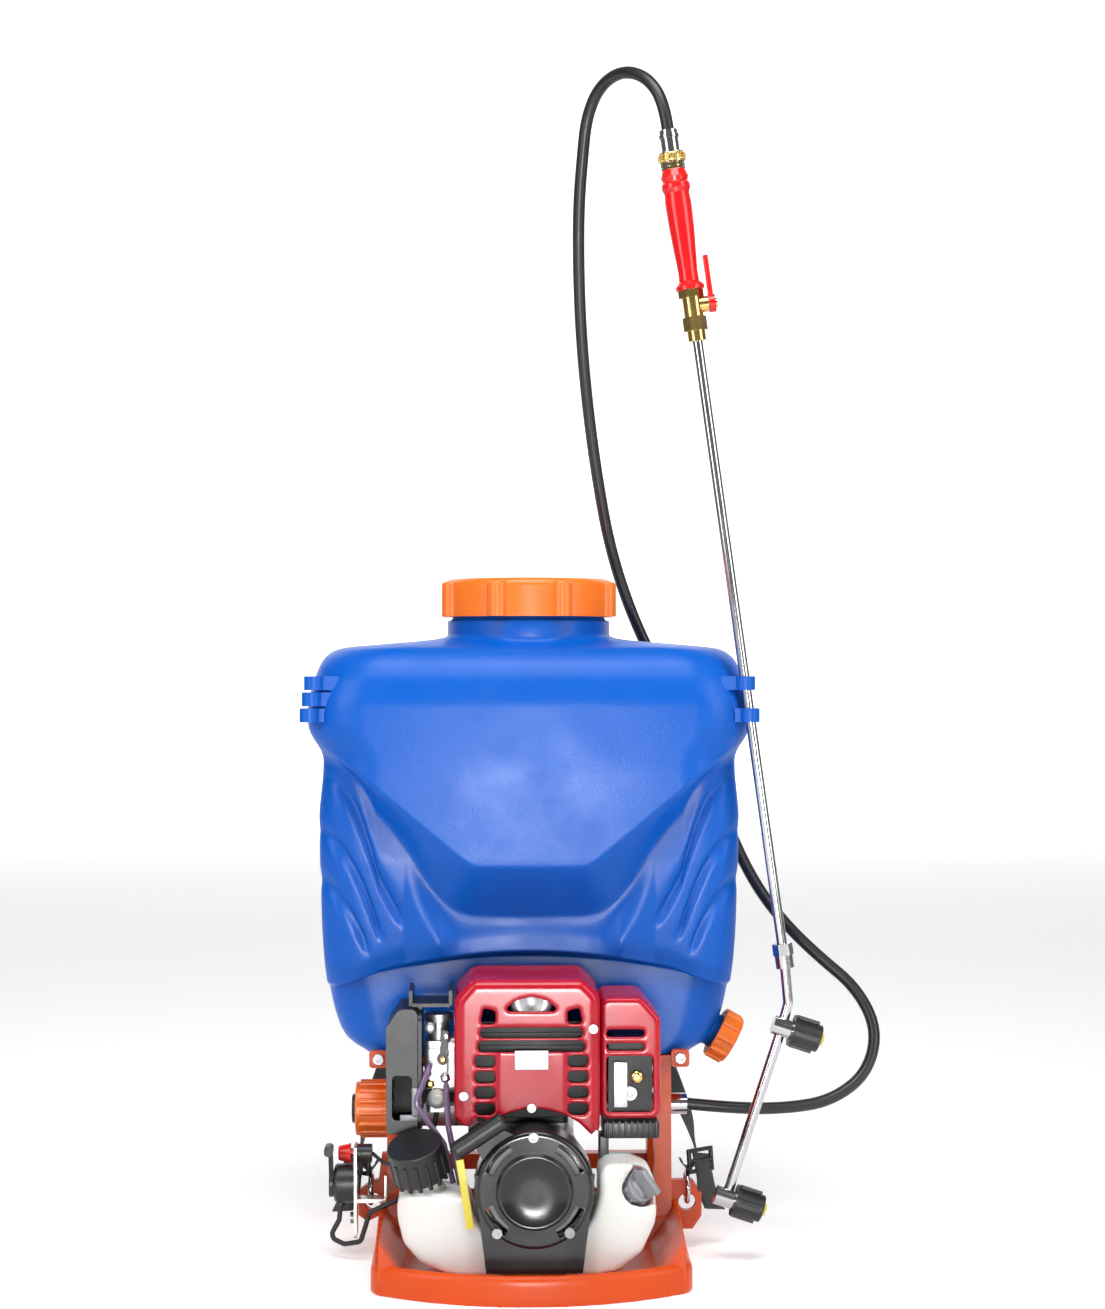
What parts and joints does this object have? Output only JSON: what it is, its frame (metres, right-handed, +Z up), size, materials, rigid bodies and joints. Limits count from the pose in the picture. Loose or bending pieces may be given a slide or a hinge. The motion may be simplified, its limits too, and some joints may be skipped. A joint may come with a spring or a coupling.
{
  "type": "motor knapsack sprayer",
  "caption": "Engine-driven knapsack sprayer: moulded tank on a base frame, recoil-start engine, gear pump, hose, lance with forked nozzle boom and carrying straps.",
  "frame": {"origin": "on the ground plane at the middle of the base tray's underside, below the tank's centre", "axes": "+Z up, +X across the machine towards the lance, -Y towards the engine side"},
  "size_m": [0.5267, 0.4659, 1.0527],
  "materials": {
    "orange_moulding": "moulded, lightly textured",
    "orange_cap": "moulded, satin",
    "blue_tank": "blow-moulded, satin with a fine orange-peel grain",
    "milky_tank": "translucent, satin",
    "black_plastic": "moulded, fine texture",
    "grey_plastic": "moulded",
    "red_cover": "moulded, semi-gloss",
    "red_grip": "moulded, semi-gloss",
    "red_boot": "soft, satin",
    "black_rubber": "matte",
    "hose_rubber": "smooth, satin",
    "primer_rubber": "soft, clear",
    "fuel_line_rubber": "clear, tinted",
    "black_cord": "braided",
    "bright_steel": "plated, bright",
    "plated_steel": "zinc plated",
    "heat_metal": "heat-tinted sheet",
    "cast_alloy": "die cast, matte",
    "cast_iron_grey": "sintered",
    "black_metal": "matte heat paint",
    "brass_metal": "machined",
    "filter_foam": "open-cell foam",
    "pad_fabric": "woven cover over foam",
    "strap_fabric": "woven webbing and padding"
  },
  "bodies": {
    "machine": {"base_tray": "orange_moulding", "support_frame": "orange_moulding", "screws": "bright_steel", "rubber_mounts": "black_rubber", "tank_shell": "blue_tank", "tank_strainer": "grey_plastic", "gaskets": "black_rubber", "lance_clips": "blue_tank", "pump_body": "cast_alloy", "suction_pipe": "black_rubber", "outlet_fitting": "bright_steel", "hose": "hose_rubber", "crankcase": "cast_alloy", "cylinder_block": "black_metal", "spark_plug": "black_rubber", "top_cover": "red_cover", "muffler_cover": "red_cover", "muffler": "heat_metal", "starter_housing": "black_plastic", "starter_badge": "bright_steel", "fuel_tank": "milky_tank", "fuel_lines": "fuel_line_rubber", "carburettor": "cast_alloy", "air_filter_base": "black_plastic", "air_filter_element": "filter_foam", "control_bracket": "plated_steel", "throttle_housing": "black_plastic", "control_cables": "black_rubber", "lance_fittings": "bright_steel", "lance_grip": "red_grip", "lance_valve": "brass_metal", "lance_tube": "bright_steel", "back_pad": "pad_fabric", "shoulder_straps": "strap_fabric", "strap_links": "bright_steel", "strap_buckles": "black_plastic"},
    "tank_cap_body": {"tank_cap": "orange_cap"},
    "drain_cap_body": {"drain_cap": "orange_cap"},
    "filter_cap_body": {"filter_cap": "orange_cap"},
    "fuel_cap_body": {"fuel_cap": "black_plastic"},
    "oil_cap_body": {"oil_cap": "grey_plastic"},
    "crank_body": {"crankshaft": "bright_steel", "flywheel": "cast_alloy", "clutch_shoes": "cast_iron_grey"},
    "pump_drive_body": {"clutch_drum": "bright_steel", "pump_drive_gear": "brass_metal"},
    "pump_idler_body": {"pump_idler_gear": "brass_metal"},
    "piston_body": {"piston_and_rod": "cast_alloy"},
    "starter_handle_body": {"starter_handle": "black_plastic"},
    "starter_reel_body": {"starter_reel": "grey_plastic", "starter_rope": "black_cord"},
    "filter_cover_body": {"air_filter_cover": "black_plastic"},
    "choke_body": {"choke_lever": "black_plastic"},
    "primer_body": {"primer_bulb": "primer_rubber"},
    "throttle_body": {"throttle_lever": "black_plastic"},
    "stop_body": {"stop_button": "red_boot"},
    "valve_body": {"valve_lever": "red_grip"},
    "boom_body": {"boom_tube": "bright_steel"},
    "upper_cap_body": {"nozzle_cap_upper": "black_plastic"},
    "lower_cap_body": {"nozzle_cap_lower": "black_plastic"}
  },
  "joints": [
    {"name": "tank_cap_turn", "type": "hinge", "parent": "machine", "child": "tank_cap_body", "pos_m": [0, 0, 0.58], "axis": [0, 0, 1], "range_deg": [0, 540]},
    {"name": "drain_cap_turn", "type": "hinge", "parent": "machine", "child": "drain_cap_body", "pos_m": [0.163, -0.02, 0.194], "axis": [0.8746, 0, -0.4848], "range_deg": [0, 720]},
    {"name": "filter_cap_turn", "type": "hinge", "parent": "machine", "child": "filter_cap_body", "pos_m": [-0.14, -0.015, 0.122], "axis": [-1, 0, 0], "range_deg": [0, 720]},
    {"name": "fuel_cap_turn", "type": "hinge", "parent": "machine", "child": "fuel_cap_body", "pos_m": [-0.09, -0.167, 0.084], "axis": [-0.1899, -0.3698, 0.9095], "range_deg": [0, 540]},
    {"name": "oil_cap_turn", "type": "hinge", "parent": "machine", "child": "oil_cap_body", "pos_m": [0.084, -0.171, 0.082], "axis": [0.5919, -0.6984, 0.4025], "range_deg": [0, 720]},
    {"name": "crank_spin", "type": "hinge", "parent": "machine", "child": "crank_body", "pos_m": [0.002, -0.1, 0.087], "axis": [0, 1, 0], "continuous": true},
    {"name": "pump_drive_spin", "type": "hinge", "parent": "machine", "child": "pump_drive_body", "pos_m": [0.002, -0.02, 0.087], "axis": [0, 1, 0], "continuous": true},
    {"name": "pump_idler_spin", "type": "hinge", "parent": "machine", "child": "pump_idler_body", "pos_m": [0.002, -0.01, 0.122], "axis": [0, 1, 0], "continuous": true},
    {"name": "piston_stroke", "type": "slide", "parent": "machine", "child": "piston_body", "axis": [0, 0, 1], "range_m": [-0.028, 0]},
    {"name": "starter_pull", "type": "slide", "parent": "machine", "child": "starter_handle_body", "axis": [0, -1, 0], "range_m": [0, 0.45]},
    {"name": "starter_reel_spin", "type": "hinge", "parent": "machine", "child": "starter_reel_body", "pos_m": [0.002, -0.186, 0.087], "axis": [0, 1, 0], "range_deg": [0, 760]},
    {"name": "filter_cover_swing", "type": "hinge", "parent": "machine", "child": "filter_cover_body", "pos_m": [-0.0965, -0.11, 0.124], "axis": [0, 1, 0], "range_deg": [-60, 0]},
    {"name": "choke_turn", "type": "hinge", "parent": "machine", "child": "choke_body", "pos_m": [-0.075, -0.133, 0.186], "axis": [0, 1, 0], "range_deg": [-40, 0]},
    {"name": "primer_press", "type": "slide", "parent": "machine", "child": "primer_body", "axis": [0, 1, 0], "range_m": [0, 0.004], "stiffness_N_per_m": 300},
    {"name": "throttle_turn", "type": "hinge", "parent": "machine", "child": "throttle_body", "pos_m": [-0.174, -0.06, 0.0645], "axis": [1, 0, 0], "range_deg": [-35, 20]},
    {"name": "stop_press", "type": "slide", "parent": "machine", "child": "stop_body", "axis": [1, 0, 0], "range_m": [0, 0.003], "stiffness_N_per_m": 400},
    {"name": "valve_lever_turn", "type": "hinge", "parent": "machine", "child": "valve_body", "pos_m": [0.14213, -0.088, 0.836], "axis": [0.9903, 0, 0.139], "range_deg": [0, 90]},
    {"name": "boom_swivel", "type": "hinge", "parent": "machine", "child": "boom_body", "pos_m": [0.22159, -0.088, 0.27], "axis": [-0.139, 0, 0.9903], "range_deg": [0, 90]},
    {"name": "upper_nozzle_cap_turn", "type": "hinge", "parent": "boom_body", "child": "upper_cap_body", "pos_m": [0.2191, -0.088, 0.2055], "axis": [0.9504, 0, -0.3111], "range_deg": [0, 90]},
    {"name": "lower_nozzle_cap_turn", "type": "hinge", "parent": "boom_body", "child": "lower_cap_body", "pos_m": [0.1688, -0.088, 0.0571], "axis": [0.9504, 0, -0.3111], "range_deg": [0, 90]}
  ],
  "couplings": [
    {"joint": "pump_idler_spin", "follows": "pump_drive_spin", "ratio": -1},
    {"joint": "starter_reel_spin", "follows": "starter_pull", "rad_per_m": 29}
  ]
}
